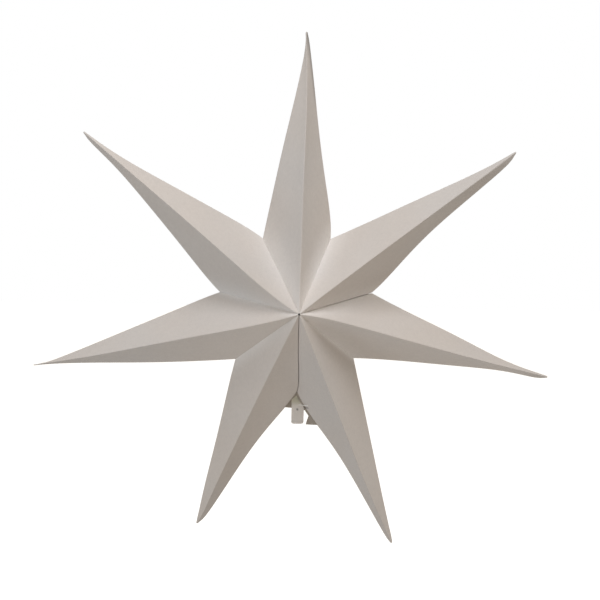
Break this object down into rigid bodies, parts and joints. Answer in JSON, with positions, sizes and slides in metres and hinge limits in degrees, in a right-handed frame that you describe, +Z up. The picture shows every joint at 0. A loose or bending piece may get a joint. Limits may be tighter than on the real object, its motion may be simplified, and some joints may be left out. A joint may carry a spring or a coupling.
{
  "type": "folded paper star",
  "caption": "Hollow seven-pointed paper star that opens like a fan, each arm a folded card spike, closed at an open seam by a card strap and a wire staple.",
  "frame": {"origin": "centre of the star, where the front-to-back line through all the arms crosses the star's middle plane", "axes": "X to the right seen from the front, Z up with one arm pointing up and the closing seam straight down, the front faces -Y"},
  "size_m": [0.5835, 0.108, 0.5755],
  "materials": {
    "card": "matte",
    "strap_card": "matte",
    "staple_wire": "satin"
  },
  "bodies": {
    "root": {"arm_top": "card", "arm_upper_right": "card", "arm_right": "card", "arm_lower_right": "card", "arm_lower_left": "card", "arm_left": "card", "arm_upper_left": "card", "closing_strap": "strap_card", "closing_staple": "staple_wire"}
  },
  "joints": []
}
